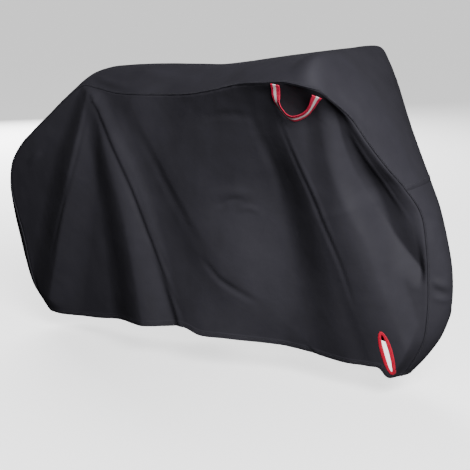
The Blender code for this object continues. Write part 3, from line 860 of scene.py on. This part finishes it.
# Polyester grosgrain tape, woven with ribs across it 1 mm apart. It is a matt, strong red, a
# little uneven in tone where it is pulled round the curve, with a faint soft sheen.
def red_tape_material():
    """The eyelet bindings' woven polyester tape."""
    made, tree, shader = new_material("woven_polyester_tape")
    red = bpy.context.scene.cover_colours.binding
    place = add_node(tree, "ShaderNodeTexCoord").outputs["Object"]
    flat = add_node(tree, "ShaderNodeUVMap", {"uv_map": "UVMap"}).outputs["UV"]
    tone = clouded(tree, place, TAPE_CLOUD, SMALL_CLOUD_DETAIL, TAPE_TONES)
    colour = add_node(tree, "ShaderNodeVectorMath", {"operation": "SCALE"}, _0=red, Scale=tone)
    ribs = add_node(
        tree, "ShaderNodeTexWave", {"bands_direction": "X"},
        Vector=flat, Scale=per_mm(TAPE_YARN) * WAVE_BAND,
    )
    ribbed = add_node(tree, "ShaderNodeBump", Height=ribs.outputs["Fac"], Distance=TAPE_RIB)
    set_inputs(
        tree, shader, Base_Color=colour.outputs["Vector"], Roughness=TAPE_ROUGHNESS,
        Specular_IOR_Level=TAPE_SPECULAR, Sheen_Weight=TAPE_SHEEN, Normal=ribbed.outputs["Normal"],
    )
    return made


# Polyester webbing with a stripe of glass beads bonded along its middle. The red is matt and
# shows ribs 1.5 mm apart, while the stripe is pale grey, smoother and shinier.
def striped_webbing_material():
    """The loop's reflective webbing."""
    made, tree, shader = new_material("reflective_striped_webbing")
    colours = bpy.context.scene.cover_colours
    width = bpy.context.scene.cover_sizes.webbing
    half = width * STRIPE_SHARE / 2
    flat = add_node(tree, "ShaderNodeUVMap", {"uv_map": "UVMap"}).outputs["UV"]
    across = add_node(tree, "ShaderNodeSeparateXYZ", Vector=flat)
    off_middle = add_node(
        tree, "ShaderNodeMath", {"operation": "SUBTRACT"}, _0=across.outputs["Y"], _1=width / 2
    )
    away = add_node(
        tree, "ShaderNodeMath", {"operation": "ABSOLUTE"}, _0=off_middle.outputs["Value"]
    )
    stripe = add_node(
        tree, "ShaderNodeMapRange", Value=away.outputs["Value"],
        From_Min=half - STRIPE_BLUR, From_Max=half + STRIPE_BLUR, To_Min=1.0, To_Max=0.0,
    ).outputs["Result"]
    colour = add_node(
        tree, "ShaderNodeMix", {"data_type": "RGBA"},
        _0=stripe, _6=(*colours.webbing, 1), _7=(*colours.stripe, 1),
    )
    gloss = add_node(
        tree, "ShaderNodeMapRange",
        Value=stripe, To_Min=WEBBING_ROUGHNESS, To_Max=STRIPE_ROUGHNESS,
    )
    ribs = add_node(
        tree, "ShaderNodeTexWave", {"bands_direction": "X"},
        Vector=flat, Scale=per_mm(WEBBING_YARN) * WAVE_BAND,
    )
    relief = add_node(tree, "ShaderNodeMapRange", Value=stripe, To_Min=1.0, To_Max=STRIPE_RELIEF)
    height = add_node(
        tree, "ShaderNodeMath", {"operation": "MULTIPLY"},
        _0=ribs.outputs["Fac"], _1=relief.outputs["Result"],
    )
    ribbed = add_node(tree, "ShaderNodeBump", Height=height.outputs["Value"], Distance=WEBBING_RIB)
    set_inputs(
        tree, shader, Base_Color=colour.outputs[2], Roughness=gloss.outputs["Result"],
        Normal=ribbed.outputs["Normal"],
    )
    return made


# Spun polyester sewing thread in the colour of what it sews, slightly shinier than the cloth,
# with tones that vary from stitch to stitch.
def thread_material(name, dye):
    """Sewing thread of this colour."""
    made, tree, shader = new_material(name)
    place = add_node(tree, "ShaderNodeTexCoord").outputs["Object"]
    tone = clouded(tree, place, THREAD_CLOUD, SMALL_CLOUD_DETAIL, THREAD_TONES)
    colour = add_node(tree, "ShaderNodeVectorMath", {"operation": "SCALE"}, _0=dye, Scale=tone)
    set_inputs(tree, shader, Base_Color=colour.outputs["Vector"], Roughness=THREAD_ROUGHNESS)
    return made


def finish(piece, material, replaced=()):
    """Gives a piece its material and its place in the frame."""
    piece.data.materials.clear()
    piece.data.materials.append(material)
    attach(piece, "root")
    if replaced:
        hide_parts(*replaced)


class COVER_OT_side_panels(bpy.types.Operator):
    """Make the two side panels with their folds, hems and eyelet holes"""

    bl_idname = "cover.side_panels"
    bl_label = "Side panels"

    def execute(self, context):
        sizes = context.scene.cover_sizes
        cloth = black_cloth_material()
        sewing_thread = thread_material("polyester_thread", context.scene.cover_colours.thread)
        sides = (
            ("near", NEAR, NEAR_HEM, NEAR_FOLDS, NEAR_CREASES),
            ("far", FAR, FAR_HEM, FAR_FOLDS, FAR_CREASES),
        )
        for where, side, hem, folds, creases in sides:
            points = side_points(side, hem, folds, creases, sizes.hem, sizes.folds, sizes.wrinkles)
            name = f"side_cloth_{where}"
            panel = sheet(name, points, sizes.cloth, flip=side == FAR)
            SURFACES[side] = surface_of(panel)
            cut_eyelet(panel, side)
            finish(panel, cloth, [f"side_panel_{where}"])
            hem_row = edge_row(points, HEM_STITCH)
            thread = sew(
                f"hem_thread_{where}", [hem_row], sizes.cloth, sewing_thread
            )
        return {"FINISHED"}


class COVER_OT_middle_strip(bpy.types.Operator):
    """Make the top panel and the front panel of the strip over the middle"""

    bl_idname = "cover.middle_strip"
    bl_label = "Middle strip"

    def execute(self, context):
        sizes = context.scene.cover_sizes
        cloth = bpy.data.materials["coated_polyester_oxford"]
        sewing_thread = bpy.data.materials["polyester_thread"]
        tucked = len(ALLOWANCE)
        points = strip_points(
            CROSS_SEAM, REAR_HEM, *TOP_STEPS, TOP_CREASES, sizes.hem, sizes.wrinkles
        )
        top = sheet("top_cloth", points, sizes.cloth)
        finish(top, cloth, ["top_panel"])
        sewn = points[tucked:, tucked:-tucked]
        lengthways = sewn.transpose(1, 0, 2)
        rows = [
            edge_row(sewn, SEAM_STITCH),
            edge_row(sewn[:, ::-1], SEAM_STITCH),
            edge_row(lengthways, SEAM_STITCH),
            edge_row(lengthways[:, ::-1], HEM_STITCH),
        ]
        thread = sew("seam_thread_top", rows, sizes.cloth, sewing_thread)
        points = strip_points(
            FRONT_HEM, CROSS_SEAM, *FRONT_STEPS, FRONT_CREASES, sizes.hem, sizes.wrinkles
        )
        front = sheet("front_cloth", points, sizes.cloth)
        finish(front, cloth, ["front_panel"])
        sewn = points[:, tucked:-tucked]
        rows = [
            edge_row(sewn, SEAM_STITCH),
            edge_row(sewn[:, ::-1], SEAM_STITCH),
            edge_row(sewn.transpose(1, 0, 2), HEM_STITCH),
        ]
        thread = sew("seam_thread_front", rows, sizes.cloth, sewing_thread)
        return {"FINISHED"}


class COVER_OT_eyelet_bindings(bpy.types.Operator):
    """Make the red tape folded round the edge of each eyelet"""

    bl_idname = "cover.eyelet_bindings"
    bl_label = "Eyelet bindings"

    def execute(self, context):
        red = red_tape_material()
        red_thread = thread_material("red_polyester_thread", context.scene.cover_colours.binding)
        for where, side in (("near", NEAR), ("far", FAR)):
            points = np.zeros((EYELET_STEPS + 1, len(BINDING), 3))
            line, outwards = np.zeros((2, EYELET_STEPS + 1, 3))
            for i in range(EYELET_STEPS + 1):
                angle = 2 * math.pi * i / EYELET_STEPS
                line[i], outwards[i] = on_panel(side, *eyelet_outline(angle, BINDING_STITCH))
                for j, (inset, height) in enumerate(BINDING):
                    place, normal = on_panel(side, *eyelet_outline(angle, inset))
                    points[i, j] = place + normal * height
            binding = sheet(f"folded_binding_{where}", points, TAPE, closed=True, flip=side == FAR)
            finish(binding, red, [f"eyelet_binding_{where}"])
            thread = sew(
                f"binding_thread_{where}", [(line, outwards)], BINDING[1].height + TAPE,
                red_thread,
            )
        return {"FINISHED"}


class COVER_OT_webbing_loop(bpy.types.Operator):
    """Make the webbing loop with its reflective stripe"""

    bl_idname = "cover.webbing_loop"
    bl_label = "Webbing loop"

    def execute(self, context):
        sizes = context.scene.cover_sizes
        steps, rows = STRAP_STEPS
        path = along(smooth_curve(STRAP), 0, len(STRAP) - 1, np.linspace(0, 1, steps + 1))
        heading = unit(np.gradient(path[:, (0, 1)], axis=0))
        points = np.zeros((steps + 1, rows + 1, 3))
        for i, (x, z, stand_off, turn) in enumerate(path):
            for j in range(rows + 1):
                aside = sizes.webbing * (j / rows - 0.5)
                flat = aside * math.cos(turn)
                place, _ = on_panel(NEAR, x - flat * heading[i, 1], z + flat * heading[i, 0])
                away = sizes.cloth + stand_off + aside * math.sin(turn)
                points[i, j] = place + Vector((0, NEAR * away, 0))
        loop = sheet("striped_webbing", points, sizes.webbing_thickness)
        finish(loop, striped_webbing_material(), ["webbing_loop"])
        return {"FINISHED"}


def area_light(name, place, size, watts):
    """A soft light aimed at the middle of the cover."""
    light = bpy.data.lights.new(name, "AREA")
    light.size = size
    light.energy = watts
    made = new_object(name, light)
    made.location = place
    made.rotation_euler = (CAMERA_AIM - Vector(place)).to_track_quat("-Z", "Y").to_euler()
    return made


class COVER_OT_stage(bpy.types.Operator):
    """Make the pale floor, the soft studio light and the camera"""

    bl_idname = "cover.stage"
    bl_label = "Stage"

    def execute(self, context):
        mesh = bmesh.new()
        bmesh.ops.create_grid(mesh, x_segments=1, y_segments=1, size=FLOOR_SIZE)
        bmesh.ops.translate(mesh, verts=mesh.verts, vec=(0, 0, -LOWEST_HEM))
        floor = mesh_object("floor", mesh)
        # Matt white studio paper, which shines a little so that it looks white up to the horizon
        made, tree, shader = new_material("white_studio_paper")
        set_inputs(
            tree, shader, Base_Color=(*context.scene.cover_colours.floor, 1),
            Roughness=PAPER_ROUGHNESS, Emission_Color=WHITE, Emission_Strength=PAPER_GLOW,
        )
        floor.visible_diffuse = False
        floor.visible_glossy = False
        floor.data.materials.append(made)

        world = bpy.data.worlds.new("studio")
        world.use_nodes = True
        tree = world.node_tree
        seen = add_node(tree, "ShaderNodeLightPath").outputs["Is Camera Ray"]
        strength = add_node(
            tree, "ShaderNodeMapRange", Value=seen, To_Min=WORLD_LIGHT, To_Max=WORLD_SEEN
        )
        set_inputs(tree, tree.nodes["Background"], Color=WHITE, Strength=strength.outputs["Result"])
        context.scene.world = world
        area_light(*KEY_LIGHT)
        area_light(*FILL_LIGHT).visible_glossy = False

        azimuth, elevation = math.radians(CAMERA_AZIMUTH), math.radians(CAMERA_ELEVATION)
        back = Vector((
            math.sin(azimuth) * math.cos(elevation),
            -math.cos(azimuth) * math.cos(elevation),
            math.sin(elevation),
        ))
        lens = bpy.data.cameras.new("camera")
        lens.lens = CAMERA_LENS
        lens.sensor_width = CAMERA_SENSOR
        camera = new_object("camera", lens)
        camera.location = CAMERA_AIM + back * CAMERA_DISTANCE
        camera.rotation_euler = back.to_track_quat("Z", "Y").to_euler()
        context.scene.camera = camera
        return {"FINISHED"}


OPERATORS = (
    COVER_OT_side_panels,
    COVER_OT_middle_strip,
    COVER_OT_eyelet_bindings,
    COVER_OT_webbing_loop,
    COVER_OT_stage,
)


class COVER_PT_panel(bpy.types.Panel):
    bl_label = "Cover"
    bl_idname = "COVER_PT_panel"
    bl_space_type = "VIEW_3D"
    bl_region_type = "UI"
    bl_category = "Cover"

    def draw(self, context):
        for group in (context.scene.cover_sizes, context.scene.cover_colours):
            for name in group.__annotations__:
                self.layout.prop(group, name)
        for operator in OPERATORS:
            self.layout.operator(operator.bl_idname)


CLASSES = (CoverSizes, CoverColours, *OPERATORS, COVER_PT_panel)


def register():
    for each in CLASSES:
        bpy.utils.register_class(each)
    bpy.types.Scene.cover_sizes = bpy.props.PointerProperty(type=CoverSizes)
    bpy.types.Scene.cover_colours = bpy.props.PointerProperty(type=CoverColours)


def unregister():
    del bpy.types.Scene.cover_sizes
    del bpy.types.Scene.cover_colours
    for each in reversed(CLASSES):
        bpy.utils.unregister_class(each)


def main():
    register()
    bpy.ops.cover.side_panels()
    bpy.ops.cover.middle_strip()
    bpy.ops.cover.eyelet_bindings()
    bpy.ops.cover.webbing_loop()
    bpy.ops.cover.stage()


if __name__ == "__main__":
    main()
